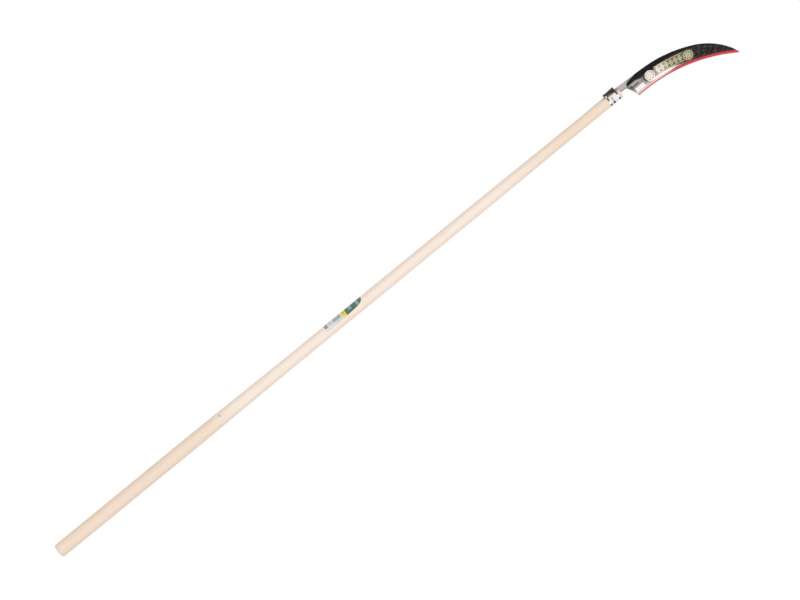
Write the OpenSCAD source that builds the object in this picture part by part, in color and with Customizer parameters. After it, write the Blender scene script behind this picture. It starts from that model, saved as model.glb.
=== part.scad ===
// Long-handled sickle: a wooden pole, a forged blade with its tang in the pole's slot, two rings, a wedge,
// a push-on edge guard and three plain stickers.
// The pole lies along X with the centre of its butt face at the origin and the blade at the far end.
// The blade curves towards -Y. It lies as on the ground, with the guard's tip as low as the butt.

/* [Pole] */
// Length of the pole
pole_l = 1500; // [1200:5:1800]
// Diameter of the grip at the butt
grip_d = 30; // [28:0.5:34]
// Length of the straight grip
grip_l = 370; // [300:5:420]
// Diameter of the slim middle
waist_d = 26; // [25:0.5:27.5]
// Distance from the butt to the start of the slim middle
waist_from = 600; // [500:5:680]
// Distance from the butt to the end of the slim middle
waist_to = 1150; // [900:5:1160]
// Diameter of the head, where the rings sit
head_d = 23.6; // [23:0.2:25]
// Length of the straight head
head_l = 170; // [130:5:250]
// Radius of the rounded butt edge
butt_round = 4; // [1:0.5:6]
// Radius of the rounded head edge
head_round = 1.6; // [0.8:0.2:2.4]
// Height above the axis to which the head is planed flat under the wedge
flat_y = 9.4; // [8.6:0.2:10.2]
// Length of the planed flat beyond the wedge's thin end
flat_past = 4.5; // [2:0.5:12]

/* [Tang] */
// Thickness of the tang
tang_t = 5; // [4:0.2:6]
// Height of the tang's back above the pole's axis
tang_y = 12; // [11.9:0.1:12.6]
// Height of the neck and of the tang beside it
neck_h = 14; // [12:0.5:15]
// Length of the tang in the pole
tang_l = 72; // [55:1:95]
// Height of the tang just before its hook
tang_end_h = 8.6; // [7:0.2:10]
// Width of the hook along the pole
hook_w = 6; // [4:0.5:9]
// Depth of the hook below the tang
hook_h = 6; // [3:0.5:8]
// Gap between the tang and the wood beside it
tang_gap = 0.1; // [0.05:0.05:0.3]

/* [Blade] */
// Thickness of the blade at the spine
blade_t = 4; // [3:0.2:5]
// Thickness of the neck
neck_t = 6.4; // [6:0.2:8]
// Distance from the pole's end to the start of the curved spine
spine_x = 28; // [27:1:32]
// Height of the spine above the pole's axis where its curve starts
spine_y = 10; // [8:0.5:11]
// Spine radius at the heel
spine_r1 = 564; // [500:4:640]
// Spine turn at the heel, in degrees
spine_a1 = 6.2; // [5:0.2:8]
// Spine radius at the middle
spine_r2 = 285; // [274:1:296]
// Spine turn at the middle, in degrees
spine_a2 = 20.4; // [19:0.2:22]
// Spine radius towards the tip
spine_r3 = 146; // [138:1:154]
// Spine turn towards the tip, in degrees
spine_a3 = 29.7; // [27:0.1:31]
// Spine radius at the tip
spine_r4 = 57; // [48:1:80]
// Turn of the spine where two arcs meet, in degrees
spine_turn = 1.2; // [0.8:0.1:2]
// Radius of the cutting edge
edge_r = 362; // [352:1:376]
// Distance from the pole's end to the edge's highest point
edge_x = 42; // [36:1:48]
// Depth of the edge's highest point below the pole's axis
edge_y = 29; // [26:0.5:31]
// Distance from the pole's end to the heel's corner at the edge
heel_x = 26.6; // [25:0.2:28]
// Radius of the heel's hollow outline
heel_r = 57; // [54:1:66]
// Slant of the heel from square at the edge, in degrees
heel_slant = 10; // [7:1:12]
// Radius between the neck and the heel
heel_round = 2.5; // [1.5:0.5:4]
// Width of the ground face, from the edge to the black band
grind_w = 26.5; // [22:0.5:28]
// Width of the cutting bevel
bevel_w = 7; // [6:0.5:9]
// Thickness of the blade at the top of the bevel
bevel_t = 2.05; // [1.6:0.05:2.4]
// Thickness left at the cutting edge
edge_t = 0.15; // [0.1:0.05:0.3]
// Depth of the hollow in the back
hollow_h = 0.35; // [0.1:0.05:0.5]
// Width of the hollow in the back
hollow_w = 16; // [10:1:20]
// Length of the thick neck
neck_l = 21; // [18:0.5:24]
// Radius of the scoop where the neck steps down to the blade
scoop_r = 7.6; // [7.2:0.2:9]
// Distance from the thick neck's end to the scoop's centre
scoop_x = 3; // [2:0.5:5]

/* [Rings and wedge] */
// Width of a ring along the pole
ring_w = 3; // [2:0.5:3.5]
// Thickness of a ring
ring_t = 1.3; // [1:0.1:2]
// Distance from the pole's end to the middle of the head ring
head_ring_x = 7.8; // [7.6:0.2:9]
// Distance between the middles of the rings
ring_gap = 22.4; // [18:0.2:23]
// How far a driven ring bites into what it holds
ring_bite = 0.05; // [0.02:0.01:0.08]
// Length of the wedge
wedge_l = 26.5; // [26:0.5:32]
// Distance from the pole's end to the wedge's head
wedge_x = 6; // [4:0.2:6.2]
// Width of the wedge
wedge_w = 13.4; // [11:0.2:14.4]
// Thickness of the wedge on the tang at its thin end
wedge_h = 3.2; // [2.6:0.1:4]
// Slope of the wedge's top, in degrees
wedge_slope = 3.2; // [2:0.1:4]
// Height of the lead at the wedge's thin end
wedge_lead = 1; // [0.6:0.2:2]
// Radius of the wedge's crowned top
crown_r = 9; // [8:0.2:10]
// Gap between the wedge's skirts and the planed wood
skirt_gap = 0.3; // [0.2:0.1:0.8]

/* [Edge guard] */
// Height of the guard seen from the side
guard_h = 5.5; // [5:0.1:7]
// Thickness of the guard's back, outside the edge
guard_web = 1.5; // [1:0.1:2]
// Thickness of the guard's walls
guard_wall = 0.9; // [0.7:0.1:1.4]
// Gap between the guard and the blade
guard_gap = 0.3; // [0.25:0.05:0.4]
// Length of guard beyond the blade's tip
guard_over = 1.5; // [1:0.5:6]
// Distance from the heel corner to the guard's heel end
guard_inset = 1; // [0.5:0.5:4]
// Height of the square nose at the guard's tip
guard_nose = 2; // [1.5:0.1:3]
// Slant of the guard's tip above its nose, in degrees
guard_slant = 58; // [40:1:62]

/* [Stickers] */
// Thickness of a sticker
label_t = 0.15; // [0.1:0.05:0.3]
// How far a wrapped sticker is pressed into the grain
label_bed = 0.05; // [0.02:0.01:0.08]
// Distance from the butt to the pole sticker
pole_label_x = 717; // [620:1:800]
// Length of the pole sticker
pole_label_l = 98; // [70:1:100]
// Wrap of the pole sticker, in degrees
pole_label_a = 124; // [90:1:140]
// Turn of the pole sticker's middle from the top, in degrees
pole_label_turn = 47; // [30:1:60]
// Corner radius of the pole sticker
pole_label_r = 7; // [2:0.5:9]
// Wrap of the ring sticker, in degrees
ring_label_a = 136; // [100:1:150]
// Corner radius of the ring sticker
ring_label_r = 1; // [0.5:0.1:3]
// Turn of the ring sticker's middle from the top, in degrees
ring_label_turn = -42; // [-50:1:-30]
// Gap between the ring sticker and a ring
ring_label_gap = 0.3; // [0.2:0.1:1]
// Length of the heel sticker
heel_label_l = 21; // [14:1:26]
// Width of the heel sticker, from the guard over the bevel and on to the ground face
heel_label_w = 10; // [7:0.5:12]
// Distance from the heel corner to the heel sticker
heel_label_x = 2.5; // [1:0.5:6]
// Gap between the guard and the heel sticker
heel_label_gap = 0.5; // [0.4:0.1:2]

/* [Hidden] */
$fn = 96;

grip_r = grip_d / 2;
head_r = head_d / 2;
past = 10; // how far a cut runs past the surface it opens
past_a = 4; // how far a swept cut runs past the end it opens, in degrees
lap = 1; // how far a cut runs back into the one beside it
let_in = 0.05; // how far an arc or a straight run is let in past the line that it meets

// Centres of the edge's circle and of the spine's four circles. The spine turns a little where two arcs meet.
edge_c = [edge_x, -edge_y - edge_r];
function arc_centre(r, heading, at) = at + r * [sin(heading), -cos(heading)];
function arc_end(r, turn, heading, at) =
    arc_centre(r, heading, at) - r * [sin(heading - turn), -cos(heading - turn)];
heading_2 = -spine_a1 - spine_turn;
heading_3 = heading_2 - spine_a2 - spine_turn;
heading_4 = heading_3 - spine_a3 - spine_turn;
spine_p1 = [spine_x, spine_y];
spine_p2 = arc_end(spine_r1, spine_a1, 0, spine_p1);
spine_p3 = arc_end(spine_r2, spine_a2, heading_2, spine_p2);
spine_p4 = arc_end(spine_r3, spine_a3, heading_3, spine_p3);
spine_r = [spine_r1, spine_r2, spine_r3, spine_r4];
spine_c = [
    arc_centre(spine_r1, 0, spine_p1), arc_centre(spine_r2, heading_2, spine_p2),
    arc_centre(spine_r3, heading_3, spine_p3), arc_centre(spine_r4, heading_4, spine_p4)];

// The tip is where the last of them meets the edge's circle
tip_way = spine_c[3] - edge_c;
tip_span = norm(tip_way);
tip_a = atan2(tip_way[1], tip_way[0])
    - acos((edge_r * edge_r + tip_span * tip_span - spine_r4 * spine_r4) / (2 * edge_r * tip_span));
tip = edge_c + edge_r * [cos(tip_a), sin(tip_a)];
spare = 4; // width left inside the edge for the grinding to take

// The heel is an arc that runs from the neck's underside to the edge, with a fillet inside its upper end
neck_y = tang_y - neck_h;
heel_low = [heel_x, -edge_y];
heel_a = atan2(heel_low[1] - edge_c[1], heel_low[0] - edge_c[0]);
heel_c = heel_low - heel_r * [cos(heel_slant), sin(heel_slant)];
fillet_y = neck_y - heel_round;
fillet_x = heel_c[0] + sqrt(pow(heel_r - heel_round, 2) - pow(fillet_y - heel_c[1], 2));
fillet_a = atan2(fillet_y - heel_c[1], fillet_x - heel_c[0]);

// Height of the ground front at the distance f from the edge: first the bevel, then the ground face
function face_z(f) = f < bevel_w
    ? edge_t - blade_t / 2 + (bevel_t - edge_t) * f / bevel_w
    : bevel_t - blade_t / 2 + (blade_t - bevel_t) * (f - bevel_w) / (grind_w - bevel_w);

// The guard's section, measured across the blade from its middle
guard_floor = edge_r - guard_gap;
guard_outer = guard_floor - guard_web;
guard_depth = guard_outer + guard_h - edge_r;
guard_low = blade_t / 2 + guard_gap + guard_wall;
guard_slot_top = face_z(guard_depth) + guard_gap;
guard_a0 = tip_a - guard_over / edge_r * 180 / PI;
guard_a1 = heel_a - guard_inset / edge_r * 180 / PI;

// Turn of the head about the pole that brings the guard's tip down to the ground
guard_drop = -(edge_c[1] + guard_outer * sin(guard_a0));
lie = asin(grip_r / norm([guard_drop, guard_low])) - atan(guard_low / guard_drop);

wedge_from = -wedge_x - wedge_l;
flat_l = flat_past - wedge_from;
function wedge_top(x) = tang_y + wedge_h + (x - wedge_from) * tan(wedge_slope);
rear_ring_x = head_ring_x + ring_gap;

// Puts what is drawn from the pole's end, in the blade's plane, in its place
module at_head() {
    translate([pole_l, 0, 0]) rotate([lie, 0, 0]) children();
}

// A section drawn as [distance from a centre, height], swept about that centre from angle a0 to a1
module swept(c, a0, a1) {
    translate([c[0], c[1], 0]) rotate([0, 0, a0]) rotate_extrude(angle = a1 - a0, $fn = 360) children();
}

// A plate of the thickness t, centred on the blade's middle plane
module plate(t) {
    translate([0, 0, -t / 2]) linear_extrude(t) children();
}

// Turned shaft: half outline revolved about X, with a rounded edge at the butt and at the head
module shaft() {
    rotate([0, 90, 0]) rotate_extrude() {
        polygon([
            [0, 0], [grip_r - butt_round, 0], [grip_r - butt_round, butt_round], [grip_r, butt_round],
            [grip_r, grip_l], [waist_d / 2, waist_from], [waist_d / 2, waist_to], [head_r, pole_l - head_l],
            [head_r, pole_l - head_round], [head_r - head_round, pole_l - head_round],
            [head_r - head_round, pole_l], [0, pole_l]]);
        translate([grip_r - butt_round, butt_round]) circle(butt_round);
        translate([head_r - head_round, pole_l - head_round]) circle(head_round);
    }
}

// Side view of the tang from the pole's end, with its hook. A gap widens the hook's sides, foot and end.
hook_x = hook_w - tang_l;
function tang_floor(x) = neck_y + (tang_y - tang_end_h - neck_y) * x / hook_x;
function tang_outline(gap, top) = [
    [0, neck_y], [hook_x + gap, tang_floor(hook_x + gap)],
    [hook_x + gap, tang_floor(hook_x) - hook_h - gap],
    [-tang_l - gap, tang_floor(hook_x) - hook_h - gap], [-tang_l - gap, top], [0, top]];

module pole() {
    color([0.92, 0.8, 0.66]) difference() {
        shaft();
        at_head() {
            plate(tang_t + 2 * tang_gap) {
                polygon(tang_outline(tang_gap, grip_r));
                translate([-lap, neck_y]) square([lap + past, grip_d]);
            }
            translate([-flat_l, 0, 0]) plate(grip_d) polygon([
                [0, flat_y], [flat_l + past, flat_y], [flat_l + past, grip_r], [flat_y - grip_r, grip_r]]);
        }
    }
}

// What lies outside circle i of the spine, beyond the line through its centre and the last one's
module beyond_spine(i) {
    way = spine_c[i] - spine_c[i - 1];
    translate(spine_c[i]) rotate([0, 0, atan2(way[1], way[0]) - 90]) difference() {
        square(spine_r1);
        circle(spine_r[i]);
    }
}

// The blade before it is ground: its lower side runs inside the edge's circle
module blade_flat() {
    low = tip[1] - 2 * past;
    plate(blade_t) difference() {
        union() {
            polygon([[0, low], [0, tang_y], [2 * spine_x, 2 * spine_y - tang_y], [2 * spine_x, low]]);
            intersection() {
                translate(spine_c[0]) circle(spine_r1);
                translate([spine_x - heel_round, low]) square([tip[0], spine_y + past - low]);
            }
        }
        translate(edge_c) circle(edge_r - spare);
        for (i = [1:3]) beyond_spine(i);
        polygon([
            [-lap, neck_y], [fillet_x, neck_y], heel_c + heel_r * [cos(fillet_a), sin(fillet_a)], heel_c]);
        translate(heel_c) rotate([0, 0, fillet_a]) intersection() {
            circle(heel_r);
            translate([0, -heel_r]) square(heel_r);
        }
        translate([fillet_x, fillet_y]) circle(heel_round + let_in);
    }
}

// What the grinding takes away: all inside the edge, the bevel, the ground face and the hollow of the back
module grinding() {
    inner = edge_r - 2 * spare;
    swept(edge_c, guard_a0 - past_a, heel_a + past_a) {
        polygon([
            [inner, -past], [edge_r, -past], [edge_r, face_z(0)], [edge_r + bevel_w, face_z(bevel_w)],
            [edge_r + grind_w, face_z(grind_w)], [edge_r + grind_w, past], [inner, past]]);
        hollow_r = (hollow_w * hollow_w / 4 + hollow_h * hollow_h) / (2 * hollow_h);
        hollow_c = [edge_r + bevel_w + hollow_w / 2, hollow_h - blade_t / 2 - hollow_r];
        translate(hollow_c) circle(hollow_r);
    }
}

module blade() {
    color([0.22, 0.21, 0.21]) at_head() {
        difference() {
            blade_flat();
            grinding();
        }
        plate(neck_t) difference() {
            polygon([[0, neck_y], [neck_l, neck_y],
                     [neck_l, tang_y + (spine_y - tang_y) * neck_l / spine_x], [0, tang_y]]);
            translate([neck_l + scoop_x, tang_y - neck_h / 2]) circle(scoop_r);
        }
        plate(tang_t) polygon(tang_outline(0, tang_y));
    }
}

// Outline round the pole and the wedge's crown: two circles and their common tangents.
// It is drawn with the pole's +Y side along its first axis.
module ring_outline(top, grow) {
    r1 = head_r + grow;
    r2 = crown_r + grow;
    far = top - crown_r;
    lean = acos((r1 - r2) / far);
    circle(r1);
    translate([far, 0]) circle(r2);
    one = [cos(lean), sin(lean)];
    other = [cos(lean), -sin(lean)];
    polygon([(r1 - let_in) * one, (r1 - let_in) * other,
             [far, 0] + (r2 - let_in) * other, [far, 0] + (r2 - let_in) * one]);
}

module ring(x) {
    color([0.62, 0.6, 0.58]) at_head() translate([-x - ring_w / 2, 0, 0]) rotate([90, 0, 90])
        linear_extrude(ring_w) difference() {
            ring_outline(wedge_top(-x), ring_t);
            ring_outline(wedge_top(-x), -ring_bite);
        }
}

module rear_ring() {
    ring(rear_ring_x);
}

module head_ring() {
    ring(head_ring_x);
}

module wedge() {
    color([0.3, 0.27, 0.27]) at_head() difference() {
        intersection() {
            plate(wedge_w) polygon([
                [wedge_from, tang_y], [-wedge_x, flat_y + skirt_gap], [-wedge_x, wedge_top(0)],
                [wedge_from + 2 * wedge_lead, wedge_top(0)], [wedge_from, tang_y + wedge_h - wedge_lead]]);
            translate([wedge_from, tang_y + wedge_h, 0]) rotate([0, 0, wedge_slope])
                translate([-past, -crown_r, 0]) rotate([0, 90, 0])
                    cylinder(h = wedge_l + 2 * past, r = crown_r);
        }
        plate(tang_t + 2 * tang_gap) translate([wedge_from - lap, 0]) square([wedge_l + 2 * lap, tang_y]);
    }
}

module edge_guard() {
    k = guard_wall / 2;
    slot_low = guard_wall - guard_low;
    top = guard_slot_top + guard_wall;
    nose = edge_c + (guard_outer + guard_nose) * [cos(guard_a0), sin(guard_a0)];
    color([0.84, 0.12, 0.12]) at_head() difference() {
        swept(edge_c, guard_a0, guard_a1) difference() {
            polygon([
                [guard_outer + k, -guard_low], [guard_outer + guard_h, -guard_low],
                [guard_outer + guard_h, top], [guard_outer + k, top], [guard_outer, top - k],
                [guard_outer, k - guard_low]]);
            translate([guard_floor, slot_low]) square([guard_h, guard_slot_top - slot_low]);
        }
        plate(grip_d) translate(nose) rotate([0, 0, guard_a0 + guard_slant]) translate([0, -past])
            square([guard_h / cos(guard_slant), past]);
    }
}

// A sticker of the length l wrapped round a straight stretch of the radius r, turned from the top
module wrapped(r, l, wrap, turn, corner) {
    width = 2 * r;
    rotate([-turn, 0, 0]) intersection() {
        rotate([0, 90, 0]) rotate([0, 0, 180 - wrap / 2]) rotate_extrude(angle = wrap)
            translate([r - label_bed, 0]) square([label_bed + label_t, l]);
        half = (r + label_t) * sin(wrap / 2);
        linear_extrude(width) {
            translate([corner, -half]) square([l - 2 * corner, 2 * half]);
            translate([0, corner - half]) square([l, 2 * half - 2 * corner]);
            for (x = [corner, l - corner], y = [corner - half, half - corner])
                translate([x, y]) circle(corner);
        }
    }
}

module pole_label() {
    color([0.2, 0.45, 0.37]) translate([pole_label_x, 0, 0])
        wrapped(waist_d / 2, pole_label_l, pole_label_a, pole_label_turn, pole_label_r);
}

module ring_label() {
    color([0.93, 0.92, 0.93]) translate([pole_l - rear_ring_x + ring_w / 2 + ring_label_gap, 0, 0])
        wrapped(head_r, ring_gap - ring_w - 2 * ring_label_gap, ring_label_a, ring_label_turn, ring_label_r);
}

// The heel's sticker is bent over the bevel's upper line, so its section follows bevel and ground face
module heel_label() {
    near = guard_depth + heel_label_gap;
    bends = [near, bevel_w, near + heel_label_w];
    start = heel_a - heel_label_x / edge_r * 180 / PI;
    end = start - heel_label_l / edge_r * 180 / PI;
    color([0.95, 0.95, 0.94]) at_head() swept(edge_c, end, start) polygon([
        for (f = bends) [edge_r + f, face_z(f) - label_bed],
        for (n = [len(bends) - 1:-1:0]) [edge_r + bends[n], face_z(bends[n]) + label_t]]);
}

pole();
blade();
rear_ring();
head_ring();
wedge();
edge_guard();
pole_label();
ring_label();
heel_label();
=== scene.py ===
# %% [markdown]
# # Long-handled sickle
# A long-handled sickle is a grass and brush cutter: a slim turned pole, a curved blade forged from black
# bar steel and ground bright along its inner edge, and a clamp of two steel rings and an iron wedge that
# grips the blade's tang. This lesson starts from the measured solids of the tool, and gives each of them
# its real surface in Blender. Everything is in metres. The pole lies along X, the blade curves towards
# -Y, and the ground is below, at -Z.

# %% Load the measured solids
import math

import bpy
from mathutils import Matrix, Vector


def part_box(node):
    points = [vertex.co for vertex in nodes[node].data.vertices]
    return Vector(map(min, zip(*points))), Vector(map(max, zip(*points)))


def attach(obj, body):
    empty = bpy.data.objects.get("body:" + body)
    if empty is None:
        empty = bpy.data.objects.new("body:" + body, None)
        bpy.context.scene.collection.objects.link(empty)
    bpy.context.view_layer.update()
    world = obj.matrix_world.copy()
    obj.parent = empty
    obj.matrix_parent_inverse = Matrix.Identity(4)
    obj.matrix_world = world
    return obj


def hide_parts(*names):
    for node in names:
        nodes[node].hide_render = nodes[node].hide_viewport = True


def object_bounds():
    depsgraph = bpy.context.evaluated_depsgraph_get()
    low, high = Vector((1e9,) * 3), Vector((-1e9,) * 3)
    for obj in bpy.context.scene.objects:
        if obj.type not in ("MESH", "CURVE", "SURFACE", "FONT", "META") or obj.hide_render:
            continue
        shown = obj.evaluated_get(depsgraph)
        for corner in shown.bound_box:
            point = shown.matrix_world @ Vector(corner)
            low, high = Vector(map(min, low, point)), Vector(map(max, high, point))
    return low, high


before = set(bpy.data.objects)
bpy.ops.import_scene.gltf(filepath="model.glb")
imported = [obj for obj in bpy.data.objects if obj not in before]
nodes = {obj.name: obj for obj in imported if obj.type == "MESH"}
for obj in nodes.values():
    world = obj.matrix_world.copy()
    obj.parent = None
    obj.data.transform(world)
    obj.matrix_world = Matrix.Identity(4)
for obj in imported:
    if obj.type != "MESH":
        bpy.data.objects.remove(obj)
solid_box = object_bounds()
print("pieces:", ", ".join(sorted(nodes)))
print("box of the solids in mm:", [round(1000 * c) for corner in solid_box for c in corner])

# %% [markdown]
# ## Camera
# The tool was photographed from straight above, lying flat, with its pole running from the lower left to
# the upper right of the picture. A long lens from well away keeps the slim pole free of perspective. The
# camera could be turned by hand until the pole matches, but the picture's own numbers are surer: its
# width takes in 1.655 m at the object, and the pole rises at 39.3 degrees.

# %% Camera above the tool
picture_width, picture_middle = 1.6553, (0.8754, -0.0447)
pole_rise = math.radians(39.32)
camera_data = bpy.data.cameras.new("camera")
camera_data.lens = 100
camera_data.sensor_width = 36
camera = bpy.data.objects.new("camera", camera_data)
camera.location = (*picture_middle, picture_width * camera_data.lens / camera_data.sensor_width)
camera.rotation_euler = (0, 0, -pole_rise)
bpy.context.scene.collection.objects.link(camera)
bpy.context.scene.camera = camera
print("camera height:", round(camera.location.z, 3), "m")

# %% [markdown]
# ## Small helpers for materials
# A material is a tree of nodes. The helpers here keep the cells below short. Some add a node and fill its
# sockets, some put together what is wanted again and again, such as a band between two places, or a tint
# where a mask is. A socket knows the tree it is in, so most of them needn't be told. One starts a shader
# group with named sockets. A group is the right home for an effect that more than one material uses,
# because it is built once and takes other values in each material.

# %% Nodes and numbers
def fill_sockets(node, inputs):
    """Gives each named socket a value, or links it if it is given another socket."""
    for name, value in dict(inputs).items():
        if isinstance(value, bpy.types.NodeSocket):
            node.id_data.links.new(value, node.inputs[name])
        else:
            node.inputs[name].default_value = value


def put(tree, kind, inputs=(), **settings):
    """Adds a shader node, makes its settings and fills its sockets."""
    node = tree.nodes.new("ShaderNode" + kind)
    for name, value in settings.items():
        setattr(node, name, value)
    fill_sockets(node, inputs)
    return node


def calc(operation, *values, clamp=False):
    """Adds a Math node to the tree of the first socket given, and returns its result."""
    tree = next(value.id_data for value in values if isinstance(value, bpy.types.NodeSocket))
    return put(tree, "Math", dict(enumerate(values)), operation=operation, use_clamp=clamp).outputs[0]


def times(first, *others):
    """Multiplies numbers or masks. A product of masks is where all of them are."""
    for other in others:
        first = calc("MULTIPLY", first, other)
    return first


print("node helpers ready")

# %% Distances, bands and clouds
def gap(value, middle):
    """How far a value is from a middle, to either side."""
    return calc("ABSOLUTE", calc("SUBTRACT", value, middle))


def from_axis(a, b):
    """Distance from an axis, out of the two distances across it."""
    return calc("SQRT", calc("ADD", times(a, a), times(b, b)))


def distance(place, point):
    """Distance of a place from a fixed point."""
    return put(place.id_data, "VectorMath", {0: place, 1: point}, operation="DISTANCE").outputs["Value"]


def fade(value, start, end, low=0.0, high=1.0):
    """Goes smoothly from low, where value is at start, to high, where it is at end."""
    ranges = {"Value": value, "From Min": start, "From Max": end, "To Min": low, "To Max": high}
    return put(value.id_data, "MapRange", ranges, interpolation_type="SMOOTHSTEP").outputs["Result"]


def between(value, start, whole, fading, end):
    """A band that begins at start, is whole from there to fading, and ends at end."""
    return times(fade(value, start, whole), fade(value, end, fading))


def clouds(place, scale, detail, roughness=0.5):
    """The soft grey clouds of a noise texture."""
    inputs = {"Vector": place, "Scale": scale, "Detail": detail, "Roughness": roughness}
    return put(place.id_data, "TexNoise", inputs).outputs["Fac"]


print("mask helpers ready")

# %% Mixing numbers and colours
def choose(mask, off, on):
    """Goes from one number to another as a mask goes from 0 to 1."""
    return put(mask.id_data, "Mix", {"Factor": mask, 2: off, 3: on}, data_type="FLOAT").outputs[0]


def mix(factor, a, b):
    """Mixes two colours."""
    a, b = ((*colour, 1.0) if isinstance(colour, tuple) else colour for colour in (a, b))
    return put(factor.id_data, "Mix", {"Factor": factor, 6: a, 7: b}, data_type="RGBA").outputs[2]


def tint(base, colour, mask, strength=1.0):
    """Lays a colour over a base where a mask is."""
    return mix(times(mask, strength), base, colour)


print("colour helpers ready")

# %% Groups and materials
def new_group(name, inputs, outputs):
    """Starts a shader group. Its sockets are named, and all are numbers but those named Vector."""
    group = bpy.data.node_groups.new(name, "ShaderNodeTree")
    for in_out, sockets in (("INPUT", inputs), ("OUTPUT", outputs)):
        for socket in sockets:
            kind = "NodeSocketVector" if socket == "Vector" else "NodeSocketFloat"
            group.interface.new_socket(socket, in_out=in_out, socket_type=kind)
    return group, group.nodes.new("NodeGroupInput").outputs, group.nodes.new("NodeGroupOutput")


def use(tree, group, inputs=()):
    """Places a group in a material or in another group, and returns its outputs."""
    return put(tree, "Group", inputs, node_tree=group).outputs


def new_material(name):
    """Starts a material, and returns it with its node tree and its Principled shader."""
    material = bpy.data.materials.new(name)
    material.use_nodes = True
    return material, material.node_tree, material.node_tree.nodes["Principled BSDF"]


def finish_with(shader, colour, roughness, height, strength, depth=0.0001, metallic=0.0):
    """Gives the Principled shader its finish. The height goes through a Bump node, its depth in metres."""
    bump = put(shader.id_data, "Bump", {"Height": height, "Strength": strength, "Distance": depth})
    fill_sockets(shader, {"Base Color": colour, "Roughness": roughness, "Metallic": metallic,
                          "Normal": bump.outputs["Normal"]})


def dress(piece, material):
    """Gives a piece one material."""
    piece.data.materials.clear()
    piece.data.materials.append(material)


print("group and material helpers ready")

# %% [markdown]
# ## Small helpers for modelling
# Bent strip, moulded channel and cut foil all start as a flat outline. By hand it is drawn by extruding
# one vertex from corner to corner, and that is what draw_outline does. The head's pieces are built lying
# in the blade's own plane, where the numbers are simple: the cutting edge is an arc, and the blade's
# front rises from the edge as a bevel and then as the ground face. The last helper turns a finished piece
# with the head and applies its place.

# %% Measures of the head
pole_end = 1.5
lean = math.radians(7.238)
edge_radius = 0.362
edge_centre = Vector((0.042, -0.391, 0))
edge_height, bevel_top = -0.00185, 0.00005
bevel_width, ground_slope = 0.007, 0.1
print("cutting edge: an arc of", round(1000 * edge_radius), "mm radius")

# %% Selecting, copying and extruding
def select_only(piece):
    """Selects one piece and nothing else."""
    bpy.ops.object.select_all(action="DESELECT")
    piece.select_set(True)
    bpy.context.view_layer.objects.active = piece


def edit_all(piece):
    """Opens one piece in edit mode, with all of it selected."""
    select_only(piece)
    bpy.ops.object.mode_set(mode="EDIT")
    bpy.ops.mesh.select_all(action="SELECT")


def copy_of(piece, name):
    """A copy with its own mesh."""
    twin = bpy.data.objects.new(name, piece.data.copy())
    bpy.context.scene.collection.objects.link(twin)
    return twin


def extrude(move):
    """Extrudes what is selected by a move."""
    bpy.ops.mesh.extrude_region_move(TRANSFORM_OT_translate={"value": move})


print("selecting helpers ready")

# %% Drawing an outline and closing a mesh
def draw_outline(name, corners):
    """Draws a closed outline, in metres, by extruding one vertex from corner to corner."""
    bpy.ops.object.select_all(action="DESELECT")
    bpy.ops.mesh.primitive_plane_add(size=0.001)
    piece = bpy.context.object
    piece.name = name
    bpy.ops.object.mode_set(mode="EDIT")
    bpy.ops.mesh.select_mode(type="VERT")
    bpy.ops.mesh.select_all(action="SELECT")
    bpy.ops.mesh.merge(type="CENTER")
    bpy.ops.transform.translate(value=corners[0])
    for here, there in zip(corners, corners[1:]):
        bpy.ops.mesh.extrude_vertices_move(TRANSFORM_OT_translate={"value": there - here})
    bpy.ops.mesh.select_all(action="SELECT")
    bpy.ops.mesh.edge_face_add()
    bpy.ops.mesh.delete(type="ONLY_FACE")
    bpy.ops.mesh.select_all(action="SELECT")
    return piece


def close_mesh(piece):
    """Merges doubles, turns the faces outwards and leaves edit mode."""
    bpy.ops.mesh.select_all(action="SELECT")
    bpy.ops.mesh.remove_doubles(threshold=0.000004)
    bpy.ops.mesh.normals_make_consistent(inside=False)
    bpy.ops.object.mode_set(mode="OBJECT")
    print(piece.name, len(piece.data.polygons), "faces")


print("drawing helpers ready")

# %% Rounding, picking and placing
def shade_smooth():
    """Shades what is selected smooth, apart from its sharp edges."""
    bpy.ops.object.shade_smooth_by_angle(angle=math.radians(40))


def soften(piece, width, angle):
    """Rounds the sharp edges with an applied bevel and shades the rest smooth."""
    select_only(piece)
    bevel = piece.modifiers.new("rounding", "BEVEL")
    bevel.width = width
    bevel.segments = 2
    bevel.limit_method = "ANGLE"
    bevel.angle_limit = math.radians(angle)
    bpy.ops.object.modifier_apply(modifier=bevel.name)
    shade_smooth()


def pick(piece, kind, test):
    """Selects the vertices or polygons that pass a test, and returns their middle."""
    bpy.ops.mesh.select_all(action="DESELECT")
    bpy.ops.object.mode_set(mode="OBJECT")
    picked = [item for item in getattr(piece.data, kind) if test(item)]
    for item in picked:
        item.select = True
    places = [item.co if kind == "vertices" else item.center for item in picked]
    middle = sum(places, Vector()) / len(places)
    bpy.ops.object.mode_set(mode="EDIT")
    return middle


def put_on_head(piece):
    """Turns a piece built at the pole's end with the head, and applies its place."""
    select_only(piece)
    piece.rotation_euler = (lean, 0, 0)
    piece.location = (pole_end, 0, 0)
    bpy.ops.object.transform_apply(location=True, rotation=True, scale=True)


print("finishing helpers ready")

# %% [markdown]
# ## Effects that several finishes share
# Grain, brushing and grinding marks are all the same thing to the eye: long thin streaks. One group makes
# them from a noise texture that is squeezed across the streaks and stretched along them.

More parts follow.
